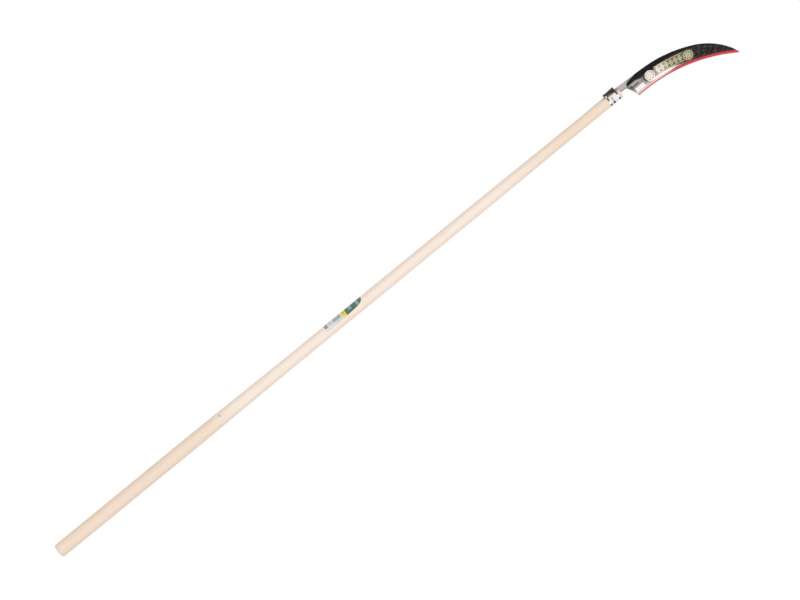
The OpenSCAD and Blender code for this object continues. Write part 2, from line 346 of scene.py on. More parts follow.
# %% Streaks group
streaks, given, result = new_group("Streaks", ("Vector", "Length", "Width", "Contrast"), ("Fac",))
narrow = calc("DIVIDE", 1.0, given["Width"])
squeeze = put(streaks, "CombineXYZ", {"X": calc("DIVIDE", 1.0, given["Length"]), "Y": narrow, "Z": narrow})
stretched = put(streaks, "VectorMath", {0: given["Vector"], 1: squeeze.outputs[0]}, operation="MULTIPLY")
centred = calc("SUBTRACT", clouds(stretched.outputs[0], 1.0, 3.0, 0.6), 0.5)
contrasted = calc("MULTIPLY_ADD", centred, given["Contrast"], 0.5, clamp=True)
fill_sockets(result, {"Fac": contrasted})


def streaked(place, length, width, contrast):
    """Streaks along X, with their length and width in the place's own unit."""
    inputs = {"Vector": place, "Length": length, "Width": width, "Contrast": contrast}
    return use(place.id_data, streaks, inputs)["Fac"]


print("group:", streaks.name)

# %% [markdown]
# Handled edges and corners are rubbed brighter or darker than the faces beside them. The Bevel node looks
# at the surface a short way round each point: where the bevelled normal leaves the true one, there is an
# edge.

# %% Edge wear group
edge_wear, given, result = new_group("Edge Wear", ("Vector", "Radius", "Patchiness"), ("Mask",))
rounded = put(edge_wear, "Bevel", {"Radius": given["Radius"]}, samples=6)
true_normal = put(edge_wear, "NewGeometry").outputs["Normal"]
likeness = put(edge_wear, "VectorMath", {0: rounded.outputs[0], 1: true_normal}, operation="DOT_PRODUCT")
edge = fade(likeness.outputs["Value"], 0.995, 0.93)
patches = calc("SUBTRACT", clouds(given["Vector"], 0.6, 2.0), 1.0)
kept = calc("MULTIPLY_ADD", patches, given["Patchiness"], 1.0)
fill_sockets(result, {"Mask": times(edge, kept)})


def worn_edges(place, radius, patchiness):
    """A mask of the edges, as far in as a radius in metres."""
    inputs = {"Vector": place, "Radius": radius, "Patchiness": patchiness}
    return use(place.id_data, edge_wear, inputs)["Mask"]


print("group:", edge_wear.name)

# %% [markdown]
# Blender's Object coordinates are in metres from the object's origin. Grain and wear are easier to think
# about in millimetres, so one small group turns them.

# %% Millimetres group
millimetres, given, result = new_group("Millimetres", (), ("Vector", "X", "Y", "Z"))
place = put(millimetres, "TexCoord").outputs["Object"]
scaled = put(millimetres, "VectorMath", {0: place, "Scale": 1000.0}, operation="SCALE").outputs[0]
apart = put(millimetres, "SeparateXYZ", {0: scaled}).outputs
fill_sockets(result, {"Vector": scaled, "X": apart["X"], "Y": apart["Y"], "Z": apart["Z"]})
print("group:", millimetres.name)

# %% [markdown]
# The grinder's wheel, the guard and the gilding all follow the blade's cutting edge, which is an arc of
# 362 mm radius in a plane that leans 7.2 degrees. This group gives every point of the head its distance
# along that arc, its distance from the edge towards the spine and its height over the blade's front,
# which is first the 7 mm cutting bevel and then the ground face, all in millimetres.

# %% Blade coordinates group
blade_place, given, result = new_group(
    "Blade Coordinates", (), ("Vector", "Along", "From Edge", "Over Face", "From Pole", "Side"))
place = put(blade_place, "TexCoord").outputs["Object"]
turn_back = {"Vector": place, "Scale": (1000, 1000, 1000), "Rotation": (-lean, 0, 0),
             "Location": (-1000 * pole_end, 0, 0)}
turned = put(blade_place, "Mapping", turn_back, vector_type="POINT").outputs[0]
flat = put(blade_place, "SeparateXYZ", {0: turned}).outputs
from_centre = [calc("SUBTRACT", flat["X"], 1000 * edge_centre.x),
               calc("SUBTRACT", flat["Y"], 1000 * edge_centre.y)]
from_edge = calc("SUBTRACT", from_axis(*from_centre), 1000 * edge_radius)
along = times(calc("ARCTAN2", *from_centre), 1000 * edge_radius)
arc_vector = put(blade_place, "CombineXYZ", {"X": along, "Y": from_edge, "Z": flat["Z"]}).outputs[0]
bevel_slope = (bevel_top - edge_height) / bevel_width
bevel_face = calc("MULTIPLY_ADD", from_edge, bevel_slope, 1000 * edge_height)
ground_face = calc("MULTIPLY_ADD", from_edge, ground_slope, 1000 * (bevel_top - bevel_width * ground_slope))
over_face = calc("SUBTRACT", flat["Z"], calc("MINIMUM", bevel_face, ground_face))
fill_sockets(result, {"Vector": arc_vector, "Along": along, "From Edge": from_edge,
                      "Over Face": over_face, "From Pole": flat["X"], "Side": flat["Y"]})
print("group:", blade_place.name)

# %% [markdown]
# ## The pole
# The pole is a pale, close-grained hardwood, turned and sanded and left bare. Its grain could be painted
# on as stripes, but then the ends would be wrong. Here the growth rings are cylinders round a pith that
# lies 45 mm from the pole's axis, below it and to one side, cut by whatever surface the solid has, so
# long flowing lines appear on the sides and arcs on the ends. Hands have left the butt and the head end a
# shade darker. Beside the wedge the wood has painted shade, with a black painted shadow along the gap
# under the wedge, and the pole's end is painted browner towards its top.

# %% Grain of the pale wood
pith_side, pith_depth = 14.0, 43.0
rings_per_mm, ring_wander = 0.42, 5.0
pale_wood, tree, shader = new_material("pale_wood")
mm = use(tree, millimetres)
lengthwise = put(tree, "Mapping", {"Vector": mm["Vector"], "Scale": (0.0035, 0.03, 0.03)}).outputs[0]
drift = times(clouds(lengthwise, 1.0, 2.0), ring_wander)
ring_distance = from_axis(calc("ADD", mm["Y"], pith_side), calc("ADD", mm["Z"], pith_depth))
growth = calc("FRACT", calc("MULTIPLY_ADD", ring_distance, rings_per_mm, drift))
late_wood = calc("POWER", growth, 5.0)
fibre = streaked(mm["Vector"], 60.0, 0.35, 1.6)
tone = streaked(mm["Vector"], 420.0, 9.0, 1.5)
held = calc("MAXIMUM", fade(mm["X"], 480.0, 400.0), fade(mm["X"], 1160.0, 1380.0))
wood = mix(tone, (0.94, 0.84, 0.75), (0.92, 0.77, 0.65))
wood = tint(wood, (0.875, 0.705, 0.555), held, 0.8)
wood = tint(wood, (0.76, 0.56, 0.41), late_wood, 0.26)
wood = tint(wood, (0.72, 0.54, 0.42), fibre, 0.15)
print("growth rings", round(1 / rings_per_mm, 1), "mm apart")

# %% Painted shade by the wedge, a browner end and a knot in the pale wood
wedge_shade_brown, gap_shadow_black = (0.26, 0.185, 0.13), (0.030, 0.020, 0.014)
end_brown, knot_brown = (0.36, 0.235, 0.155), (0.10, 0.055, 0.035)
wedge_middle, wedge_taper = 1484.0, 0.14
knot_place = (436.0, 6.3, 13.0)
under_iron = between(mm["X"], 1464.0, 1474.0, 1493.0, 1495.5)
# Painted shade: beside the wedge the wood is painted brown, deeper towards the wedge.
wedge_shade = times(fade(calc("MULTIPLY_ADD", fibre, 1.5, mm["Y"]), 4.6, 8.0), under_iron)
wood = tint(wood, wedge_shade_brown, wedge_shade, 0.85)
# Painted shadow: a black line along the gap under the wedge.
from_middle = calc("SUBTRACT", mm["X"], wedge_middle)
along_iron = calc("MULTIPLY_ADD", from_middle, wedge_taper, mm["Y"])
wood = tint(wood, gap_shadow_black, fade(along_iron, 7.6, 8.6), under_iron)
# The pole's end is painted browner towards its top.
browner_end_top = times(fade(mm["Y"], 1.0, 7.5), fade(mm["X"], 1493.5, 1495.0))
wood = tint(wood, end_brown, browner_end_top, 0.75)
wood = tint(wood, knot_brown, fade(distance(mm["Vector"], knot_place), 2.1, 0.7))
finish_with(shader, colour=wood, roughness=fade(fibre, 0.0, 1.0, 0.58, 0.72),
            height=calc("MULTIPLY_ADD", late_wood, 0.5, fibre), strength=0.25, depth=0.00012)
dress(nodes["pole"], pale_wood)
print("pole dressed in", pale_wood.name)

# %% [markdown]
# ## The blade's steel
# A blade like this comes from the forge with black scale all over it. The smith grinds the face bright
# from the edge inwards and leaves the scale along the spine, where it keeps rust away. Near the heel the
# bright face is about 23 mm wide. By mid-blade only a thin line of it shows beside the guard, and towards
# the tip the guard covers what is left. The neck is rubbed down to bare grey steel. All of that is one
# piece of metal, so it is one material: masks say where the scale is, where the wheel has been and where
# the file.

# %% Where the forge scale begins
bright_on_back, least_bright = 21.8, 1.5
neck_foot, neck_length, neck_low, neck_height = 18.6, 26.0, 1.5, 7.6
blade_steel, tree, shader = new_material("blade_steel")
at = use(tree, blade_place)
along, from_edge = at["Along"], at["From Edge"]
wobble = clouds(at["Vector"], 0.16, 3.0)
grind = streaked(at["Vector"], 30.0, 1.6, 3.4)
fine = streaked(at["Vector"], 9.0, 0.22, 2.4)
on_back = fade(at["Over Face"], -0.1, -0.3)
on_front = calc("SUBTRACT", 1.0, on_back)
bright_width = fade(along, -18.0, 14.0, 31.8, 22.8)
for start, end, narrowing in ((46.0, 94.0, -17.2), (112.0, 150.0, -6.0)):
    bright_width = calc("ADD", bright_width, fade(along, start, end, 0.0, narrowing))
bright_width = choose(on_back, calc("MAXIMUM", bright_width, least_bright), bright_on_back)
past_line = calc("SUBTRACT", calc("MULTIPLY_ADD", wobble, 2.4, from_edge), bright_width)
past_line = calc("MULTIPLY_ADD", calc("SUBTRACT", grind, 0.5), 1.6, past_line)
up_the_neck = calc("MULTIPLY", calc("SUBTRACT", at["From Pole"], neck_foot), 1 / neck_length, clamp=True)
neck_line = calc("MULTIPLY_ADD", calc("POWER", up_the_neck, 0.38), neck_height, neck_low)
below_neck = calc("ADD", calc("SUBTRACT", neck_line, at["Side"]),
                  fade(at["From Pole"], 43.0, 52.0, 0.0, 30.0))
scale_mask = times(fade(past_line, 0.2, 2.2), fade(below_neck, -0.7, 0.5),
                   fade(at["From Pole"], 18.4, 19.8))
print("scale mask ready")

# %% [markdown]
# Beside the guard the ground face is painted near white, a painted reflection of the bright surround, and
# above it the face is lilac-grey. A painted shadow line runs from the nose, with painted shade in the
# hollow at its foot and a grey heel corner. A painted shadow lies as a dark crescent beside the first
# rosette.

# %% Ground face
reflection_white, lilac_grey = (0.86, 0.80, 0.775), (0.44, 0.395, 0.41)
# Painted reflection: beside the guard the ground face is painted near white.
reflection_stretch = calc("MAXIMUM", between(along, 20.0, 36.0, 52.0, 92.0), times(fade(along, 12.5, 8.5), 0.45))
ground_tone = calc("MAXIMUM", calc("SUBTRACT", 1.0, reflection_stretch), fade(from_edge, 5.5, 11.5))
ground = mix(ground_tone, reflection_white, lilac_grey)
ground = tint(ground, (0.21, 0.175, 0.185), grind, calc("MULTIPLY_ADD", ground_tone, 0.6, 0.08))
ground = tint(ground, (0.40, 0.36, 0.37), fine, 0.22)
ground = tint(ground, (0.20, 0.155, 0.135), fade(along, 66.0, 96.0), 0.75)
print("ground face ready")

# %% Marks at the heel, and the neck
shadow_line_at, rosette_shadow_radius, shoulder_at = 20.2, 12.3, 19.7
rosette_shadow_middle, patch_middle = (26.4, 17.2, 0.0), (10.0, 19.5, 0.0)
# Painted shadow line from the nose, and painted shade in the hollow at its foot.
shadow_line = times(fade(gap(from_edge, shadow_line_at), 2.1, 0.5), between(along, -23.0, -18.0, -1.0, 4.0))
hollow_shade = times(fade(along, -12.0, -16.5),
                    fade(from_edge, 12.0, 20.5, 0.1, 1.0), fade(from_edge, 27.0, 23.0))
heel_corner = times(fade(along, -10.0, -16.0), fade(from_edge, 21.0, 16.0))
face_place = put(tree, "CombineXYZ", {"X": along, "Y": from_edge}).outputs[0]
# Painted shadow: a dark crescent beside the first rosette.
from_rosette_shadow = gap(distance(face_place, rosette_shadow_middle), rosette_shadow_radius)
rosette_shadow = times(fade(from_rosette_shadow, 2.6, 1.1), fade(along, 21.0, 16.5), fade(from_edge, 9.0, 12.5), on_front)
from_patch = calc("MULTIPLY_ADD", wobble, 4.0, distance(face_place, patch_middle))
patch = times(fade(from_patch, 8.0, 3.5), on_front)
for colour, mask, strength in (((0.25, 0.24, 0.24), heel_corner, 0.45),
                               ((0.055, 0.045, 0.048), shadow_line, 0.9),
                               ((0.045, 0.042, 0.042), hollow_shade, 0.9),
                               ((0.16, 0.115, 0.11), patch, 0.65), ((0.045, 0.030, 0.024), rosette_shadow, 0.92)):
    ground = tint(ground, colour, mask, strength)
# Painted shade: a dark line across the neck at its shoulder.
shoulder_shade = times(fade(gap(at["From Pole"], shoulder_at), 1.5, 0.4), fade(at["Side"], 4.0, 2.0))
filed = mix(fine, (0.64, 0.575, 0.575), (0.52, 0.465, 0.465))
# Painted shade: the neck's lower edge is painted darker.
filed = tint(filed, (0.085, 0.065, 0.060), fade(at["Side"], 1.2, -0.4), 0.45)
bare = mix(fade(at["From Pole"], 25.0, 17.0), ground, filed)
bare = tint(bare, (0.070, 0.055, 0.055), shoulder_shade, 0.8)
print("heel and neck ready")

# %% [markdown]
# Forge scale is a thin crust, nearly black, pitted, and rubbed to a warm grey in patches and along the
# wheel's line. A little gold dust from the gilding has stayed on it round the panel.

# %% Forge scale, and the blade's finish
crust = clouds(at["Vector"], 1.1, 6.0, 0.75)
pits = put(tree, "TexVoronoi", {"Vector": at["Vector"], "Scale": 0.7, "Randomness": 1.0})
pitted = fade(pits.outputs["Distance"], 0.30, 0.12)
rubbed_part = times(fade(from_edge, 36.0, 24.0), fade(along, 20.0, 130.0))
patchy = times(fade(clouds(at["Vector"], 0.21, 5.0, 0.65), 0.44, 0.64),
               calc("MULTIPLY_ADD", rubbed_part, 0.65, 0.1))
thinned = times(fade(past_line, 8.0, 1.0), fade(along, 40.0, 20.0, 0.35, 1.0))
scale = mix(fade(crust, 0.35, 0.70), (0.008, 0.0075, 0.008), (0.030, 0.026, 0.027))
scale = tint(scale, (0.110, 0.088, 0.086), patchy, fade(crust, 0.30, 0.60, 0.4, 1.0))
scale = tint(scale, (0.090, 0.074, 0.074), thinned, fade(crust, 0.25, 0.65, 0.3, 0.9))
scale = tint(scale, (0.006, 0.005, 0.005), pitted, 0.7)
crust = calc("MULTIPLY_ADD", pitted, -0.4, crust)
gold_dust = times(between(along, 36.0, 46.0, 114.0, 128.0),
                  between(from_edge, 6.0, 9.5, 26.0, 31.0), on_front)
scale = tint(scale, (0.235, 0.205, 0.125), gold_dust, fade(crust, 0.2, 0.8, 0.35, 0.9))
finish_with(shader, colour=mix(scale_mask, bare, scale),
            roughness=choose(scale_mask, fade(fine, 0.0, 1.0, 0.26, 0.38),
                             fade(crust, 0.2, 0.8, 0.40, 0.60)),
            height=choose(scale_mask, times(fine, 0.10), crust),
            strength=0.35, depth=0.0003, metallic=1.0)
dress(nodes["blade"], blade_steel)
print("blade dressed in", blade_steel.name)

# %% [markdown]
# ## The edge guard
# The guard is a red channel of soft plastic, pressed over the edge before the tool is sold and pulled off
# before use. Such a channel is extruded: one section all the way, with soft corners and two lips that
# pinch the blade. So it is made as the factory makes it. The section is drawn once, its corners are
# bevelled, and it is swept with Spin round the centre of the cutting edge's arc, from the tip to the
# heel.

# %% Places and sweeps round the cutting edge
def across_edge(angle, radius, height):
    """A point by its angle round the edge's centre, its distance from there and its height."""
    return edge_centre + Vector((radius * math.cos(angle), radius * math.sin(angle), height))


def face_height(from_edge):
    """Height of the blade's front over its middle plane: first the cutting bevel, then the ground face."""
    if from_edge < bevel_width:
        return edge_height + (bevel_top - edge_height) * from_edge / bevel_width
    return bevel_top + (from_edge - bevel_width) * ground_slope


def sweep_section(piece, start, end, steps):
    """Sweeps a drawn section round the edge's centre with Spin, and closes both ends."""
    bpy.ops.mesh.spin(steps=steps, angle=start - end, center=edge_centre, axis=(0, 0, 1))
    bpy.ops.mesh.select_all(action="SELECT")
    bpy.ops.mesh.select_non_manifold()
    bpy.ops.mesh.edge_face_add()
    close_mesh(piece)


print("ground face at 20 mm from the edge:", round(1000 * face_height(0.02), 2), "mm high")

# %% Guard section, swept along the edge
guard_tip, guard_heel = math.radians(55.577), math.radians(92.28)
guard_reach, guard_back, edge_gap, corner_round = 0.0037, 0.0018, 0.0003, 0.00036
lip_wall, under, slot_under = 0.0009, -0.0032, -0.0023
back, mouth, floor_of_slot = edge_radius - guard_back, edge_radius + guard_reach, edge_radius - edge_gap
slot_top = face_height(guard_reach) + edge_gap
top = slot_top + lip_wall
guard_section = [(back, under), (mouth, under), (mouth, slot_under), (floor_of_slot, slot_under),
                 (floor_of_slot, slot_top), (mouth, slot_top), (mouth, top), (back, top)]
guard = draw_outline("guard_channel", [across_edge(guard_tip, r, h) for r, h in guard_section])
bpy.ops.mesh.bevel(offset=corner_round, segments=3, affect="VERTICES")
sweep_section(guard, guard_tip, guard_heel, 72)

# %% Slanted tip of the guard
tip_slant = guard_tip + math.radians(58)
tip_point = across_edge(guard_tip, edge_radius + 0.0002, 0)
tip_normal = (math.sin(tip_slant), -math.cos(tip_slant), 0)
edit_all(guard)
bpy.ops.mesh.bisect(plane_co=tip_point, plane_no=tip_normal, clear_outer=True, use_fill=True)
close_mesh(guard)
soften(guard, 0.00022, 60)
put_on_head(guard)
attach(guard, "guard")
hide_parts("edge_guard")

# %% [markdown]
# Plastic of this kind is slightly cloudy and smooth, with faint flow lines along its length. Towards the
# heel its red is painted paler and pinker and its upper side near white, a painted reflection of the lamp
# on the glossy plastic. Its outer side towards the tip is painted darker, a painted shade.

# %% Guard plastic material
guard_plastic, tree, shader = new_material("guard_plastic")
at = use(tree, blade_place)
flow = streaked(at["Vector"], 60.0, 1.1, 1.4)
worn = worn_edges(at["Vector"], 0.0005, 0.4)
# Painted reflection: near the heel the guard's upper side is painted near white.
heel_sheen = times(fade(at["Along"], 84.0, 44.0), fade(at["From Edge"], 0.4, 1.2))
# Painted shade: the outer side towards the tip is painted darker.
outer_shade = times(fade(at["From Edge"], 0.2, -0.8), fade(at["Along"], 90.0, 170.0))
# Painted reflection: the red is painted paler and pinker towards the heel.
red = mix(fade(at["Along"], 20.0, 130.0), (0.50, 0.095, 0.090), (0.66, 0.030, 0.040))
for colour, mask, strength in (((1.0, 0.68, 0.66), heel_sheen, 0.95), ((0.27, 0.016, 0.024), outer_shade, 0.6),
                               ((0.48, 0.02, 0.026), flow, 0.22), ((0.86, 0.24, 0.22), worn, 0.35)):
    red = tint(red, colour, mask, strength)
finish_with(shader, colour=red, roughness=fade(flow, 0.0, 1.0, 0.34, 0.46), height=flow, strength=0.15)
dress(guard, guard_plastic)
print("guard dressed in", guard_plastic.name)

# %% [markdown]
# ## The clamp rings
# Each ring is a strip of steel, bent round the pole and over the crown of the wedge, and closed by a weld
# below. The strip's rounded section is drawn once and bent the way a smith bends it: round the pole,
# straight up to the crown, round the crown and straight back. The weld is raised a little at the very
# bottom, where nobody looks. The wedge is driven hard, so its crown and the rings over it stand 1.4 mm
# prouder than on the measured solid.

# %% Two bent rings
pole_round_at_head = 0.0118
crown_radius = 0.009
ring_bite, ring_wall, ring_width, strip_round = 0.00005, 0.0013, 0.003, 0.00038
wedge_thin_end, wedge_thin_height, wedge_rise = -0.0325, 0.0152, math.radians(3.2)
rear_at, head_at = -0.0302, -0.0083
crown_lift = 0.0014


def wedge_top(along):
    """Height of the wedge's crown above the pole's axis, at a distance along the pole from its end."""
    return wedge_thin_height + crown_lift + (along - wedge_thin_end) * math.tan(wedge_rise)


def bend_ring(name, along):
    """Bends one ring, its middle at a distance along the pole from the pole's end."""
    crown = Vector((0, wedge_top(along) - crown_radius, 0))
    tangent = math.acos((pole_round_at_head - crown_radius) / crown.y)
    out = Vector((0, math.cos(tangent), math.sin(tangent)))
    out_below = Vector((0, out.y, -out.z))
    low, high = pole_round_at_head - ring_bite, pole_round_at_head + ring_wall
    left, right = Vector((along - ring_width / 2, 0, 0)), Vector((along + ring_width / 2, 0, 0))
    ring = draw_outline(name, [left + low * out, left + high * out, right + high * out, right + low * out])
    bpy.ops.mesh.bevel(offset=strip_round, segments=3, affect="VERTICES")
    bpy.ops.mesh.spin(steps=48, angle=-(math.tau - 2 * tangent), center=(0, 0, 0), axis=(1, 0, 0))
    extrude(crown - out_below * (pole_round_at_head - crown_radius))
    bpy.ops.mesh.spin(steps=24, angle=-2 * tangent, center=crown, axis=(1, 0, 0))
    extrude(-crown + out * (pole_round_at_head - crown_radius))
    close_mesh(ring)
    return ring


rings = [bend_ring("rear_band", rear_at), bend_ring("head_band", head_at)]

# %% Weld bead under each ring
bead_half, bead_lift = 0.0011, 0.0006
for ring in rings:
    edit_all(ring)
    for cut_at in (-bead_half, 0.0, bead_half):
        bpy.ops.mesh.select_all(action="SELECT")
        bpy.ops.mesh.bisect(plane_co=(0, cut_at, 0), plane_no=(0, 1, 0))
    middle = pick(ring, "vertices", lambda vertex: abs(vertex.co.y) < 0.0001 and vertex.co.z < 0)
    bpy.ops.transform.resize(value=(1.10, 1, 1.22), center_override=middle + Vector((0, 0, bead_lift)))
    close_mesh(ring)
    shade_smooth()
    put_on_head(ring)
    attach(ring, "sickle")
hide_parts("rear_ring")
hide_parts("head_ring")

# %% [markdown]
# The middle of each strip is bright steel. Dark patches beside it and all the way up to the wedge are
# painted reflections of dark surroundings, and a tan band on the rear ring is a painted reflection of the
# wood.

# %% Ring steel material
ring_steel, tree, shader = new_material("ring_steel")
mm = use(tree, millimetres)
ragged = clouds(mm["Vector"], 0.8, 3.0)
across = calc("MULTIPLY_ADD", calc("SUBTRACT", ragged, 0.5), 1.6, mm["Y"])
on_rear = fade(mm["X"], 1000 * (pole_end + head_at) - 8.0, 1000 * (pole_end + rear_at) + 4.0)
# Painted reflections: a tan band on the rear ring mirrors the wood, and dark patches mirror dark
# surroundings.
wood_reflection = times(on_rear, between(across, 6.6, 7.4, 11.4, 12.2))
upper_reflection = calc("SUBTRACT", between(across, -0.6, 0.4, 17.2, 18.6), wood_reflection)
lower_reflection = between(across, -12.6, -11.8, -7.6, -6.8)
upward = fade(mm["Z"], -2.0, 3.0)
dark_reflection = calc("MULTIPLY", calc("ADD", upper_reflection, lower_reflection), upward, clamp=True)
brushed = streaked(mm["Vector"], 0.25, 5.0, 1.5)
worn = worn_edges(mm["Vector"], 0.0003, 0.5)
steel = mix(brushed, (0.90, 0.875, 0.88), (0.74, 0.72, 0.73))
steel = tint(steel, (0.95, 0.93, 0.92), worn, 0.4)
steel = tint(steel, (0.66, 0.52, 0.40), wood_reflection, upward)
steel = tint(steel, (0.042, 0.029, 0.024), dark_reflection, fade(ragged, 0.2, 0.8, 1.0, 0.9))
finish_with(shader, colour=steel, roughness=fade(dark_reflection, 0.0, 1.0, 0.24, 0.5), height=brushed,
            strength=0.12, metallic=1.0)
for ring in rings:
    dress(ring, ring_steel)
print("rings dressed in", ring_steel.name)

# %% [markdown]
# ## The wedge
# The wedge is a taper of plain iron with its forging skin on. Its solid already has the crown, the taper
# and the slot that straddles the tang, so a copy of it is merged and softened rather than drawn again.
# Its crown is lifted and its thick end set back to the ring. Hammer blows have spread that end into a low
# lip round a flattened face, and that is pulled out of the copy in edit mode.

# %% Wedge with a struck end
crown_from, end_set_back = 0.0121, 0.0014
lip_depth, lip_width, face_rise = 0.0004, 0.0009, 0.0002
wedge = copy_of(nodes["wedge"], "struck_wedge")
edit_all(wedge)
bpy.ops.mesh.remove_doubles(threshold=0.000002)
bpy.ops.mesh.dissolve_limited(angle_limit=math.radians(1))
head_up = Vector((0, math.cos(lean), math.sin(lean)))
pick(wedge, "vertices", lambda vertex: vertex.co.dot(head_up) > crown_from)
bpy.ops.transform.translate(value=crown_lift * head_up)
struck_middle = pick(wedge, "polygons", lambda face: face.normal.x > 0.95)
bpy.ops.mesh.select_mode(type="FACE")
bpy.ops.transform.translate(value=(-end_set_back, 0, 0))
extrude((lip_depth, 0, 0))
bpy.ops.transform.resize(value=(1, 1.03, 1.05), center_override=struck_middle)
bpy.ops.mesh.inset(thickness=lip_width)
bpy.ops.transform.translate(value=(face_rise, 0, 0))
close_mesh(wedge)
soften(wedge, 0.0004, 28)
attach(wedge, "sickle")
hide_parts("wedge")

# %% Wedge iron material
wedge_iron, tree, shader = new_material("wedge_iron")
mm = use(tree, millimetres)
skin = clouds(mm["Vector"], 0.7, 5.0, 0.7)
drawn = streaked(mm["Vector"], 14.0, 0.4, 1.8)
worn = worn_edges(mm["Vector"], 0.0005, 0.7)
iron = mix(fade(skin, 0.3, 0.75), (0.030, 0.026, 0.027), (0.085, 0.070, 0.074))
iron = tint(iron, (0.12, 0.105, 0.11), drawn, 0.3)
iron = tint(iron, (0.30, 0.28, 0.28), worn, 0.5)
# Painted shade: the wedge's lower part, towards the wood, is painted near black.
iron = tint(iron, (0.018, 0.011, 0.008), fade(mm["Y"], 13.0, 11.2), 0.95)
finish_with(shader, colour=iron, roughness=fade(skin, 0.2, 0.8, 0.38, 0.62), height=skin,
            strength=0.4, depth=0.0003, metallic=1.0)
dress(wedge, wedge_iron)
print("wedge dressed in", wedge_iron.name)

# %% [markdown]
# ## Gilt ornament
# The finished blade carries a little gilt foil on its ground face. The pattern here is an old and common
# one: an eight-petalled rosette at each end and a row of lozenges on a rimmed panel between them. A
# rosette is cut from foil in layers, a thin round ground, a raised rim, petals and a boss, so it catches
# the light as stamped foil does. One rosette and one lozenge are modelled at the origin, copied, and laid
# on the ground face, which leans 5.7 degrees towards the edge. The panel's section has its two rims in it
# and is swept along the edge, as the guard's was.

# %% Foil shapes
foil_border, foil_rise = 0.0003, 0.00006
petal_radius, petal_out, petal_stretch = 0.0020, 0.0053, (1.42, 0.68, 1)


def flat_foil(name, radius, corners=48):
    """A flat round or cornered cut of foil, all of it selected in edit mode."""
    bpy.ops.object.select_all(action="DESELECT")
    bpy.ops.mesh.primitive_circle_add(vertices=corners, radius=radius, fill_type="NGON")
    piece = bpy.context.object
    piece.name = name
    edit_all(piece)
    return piece


def foil_disc(name, radius, height):
    """A round of foil, its upper side drawn in a little."""
    piece = flat_foil(name, radius)
    extrude((0, 0, height))
    bpy.ops.mesh.inset(thickness=min(radius * 0.3, foil_border))
    bpy.ops.transform.translate(value=(0, 0, foil_rise))
    close_mesh(piece)
    return piece


def foil_hoop(name, outer, inner, height, corners=48):
    """A flat hoop of foil, round or cornered."""
    piece = flat_foil(name, outer, corners)
    bpy.ops.mesh.inset(thickness=(outer - inner) * math.cos(math.pi / corners))
    bpy.ops.mesh.delete(type="FACE")
    bpy.ops.mesh.select_all(action="SELECT")
    extrude((0, 0, height))
    close_mesh(piece)
    return piece


def foil_petal(turn):
    """One petal: a round drawn out to a drop, standing off the middle and turned to its place."""
    petal = foil_disc("petal", petal_radius, 0.00022)
    edit_all(petal)
    bpy.ops.transform.resize(value=petal_stretch, center_override=(0, 0, 0))
    bpy.ops.transform.translate(value=(petal_out, 0, 0))
    bpy.ops.transform.rotate(value=turn, orient_axis="Z", center_override=(0, 0, 0))
    bpy.ops.object.mode_set(mode="OBJECT")
    return petal


def join_pieces(name, parts):
    """Joins parts into one piece."""
    select_only(parts[0])
    for part in parts[1:]:
        part.select_set(True)
    bpy.ops.object.join()
    parts[0].name = name
    parts[0].data.name = name
    return parts[0]


print("foil shapes ready")

# %% One rosette and one lozenge
rosette_radius, rosette_inside, boss_radius, petals = 0.0107, 0.0093, 0.0017, 8
lozenge_radius, lozenge_inside, seed_radius = 0.0056, 0.0036, 0.0016
rosette = join_pieces("rosette_heel", [foil_disc("ground", rosette_radius, 0.00008),
                                       foil_hoop("rim", rosette_radius, rosette_inside, 0.00024),
                                       foil_disc("boss", boss_radius, 0.00030)]
                      + [foil_petal(math.tau * n / petals) for n in range(petals)])
lozenge = join_pieces("lozenge", [foil_hoop("frame", lozenge_radius, lozenge_inside, 0.00022, 4),
                                  foil_disc("seed", seed_radius, 0.00026)])
print("rosette and lozenge:", len(rosette.data.polygons), len(lozenge.data.polygons), "faces")

# %% Lay the foil on the ground face
ground_lean = math.atan(ground_slope)
heel_place, middle_place, middle_stretch = (0.0264, 0.0174), (0.1126, 0.0172), (1.03, 0.92, 1)
row_start, row_step, row_from_edge, lozenge_stretch = 0.0465, 0.0097, 0.0181, (0.84, 1.32, 1)


def lay_on_face(piece, along, from_edge, stretch=(1, 1, 1), lift=-0.00004):
    """Lays a piece on the ground face, by its distances along the edge and from the edge."""
    turn = along / edge_radius
    height = face_height(from_edge) + lift
    piece.scale = stretch
    piece.rotation_euler = (ground_lean, 0, -turn)
    piece.location = across_edge(math.pi / 2 - turn, edge_radius + from_edge, height)
    select_only(piece)
    bpy.ops.object.transform_apply(location=True, rotation=True, scale=True)
    put_on_head(piece)
    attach(piece, "sickle")


ornament = [rosette, copy_of(rosette, "rosette_middle")]
row = [copy_of(lozenge, f"lozenge_{n + 1}") for n in range(6)]
bpy.data.objects.remove(lozenge)
lay_on_face(ornament[0], *heel_place)
lay_on_face(ornament[1], *middle_place, middle_stretch)
for n, piece in enumerate(row):
    lay_on_face(piece, row_start + n * row_step, row_from_edge, lozenge_stretch, 0.00004)
ornament += row

# %% Rimmed panel under the lozenges
panel_start, panel_end = 0.0413, 0.1008
panel_near, panel_far, rim_width = 0.0093, 0.0269, 0.0009
foil_foot, foil_top, rim_top = -0.00004, 0.00008, 0.00020
panel_heel, panel_tip = math.pi / 2 - panel_start / edge_radius, math.pi / 2 - panel_end / edge_radius
panel_section = [(panel_near, foil_foot), (panel_far, foil_foot), (panel_far, rim_top),
                 (panel_far - rim_width, rim_top), (panel_far - 1.2 * rim_width, foil_top),
                 (panel_near + 1.2 * rim_width, foil_top), (panel_near + rim_width, rim_top),
                 (panel_near, rim_top)]
panel = draw_outline("gilt_panel", [across_edge(panel_tip, edge_radius + f, face_height(f) + h)
                                    for f, h in panel_section])
sweep_section(panel, panel_tip, panel_heel, 24)
put_on_head(panel)
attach(panel, "sickle")
ornament.append(panel)

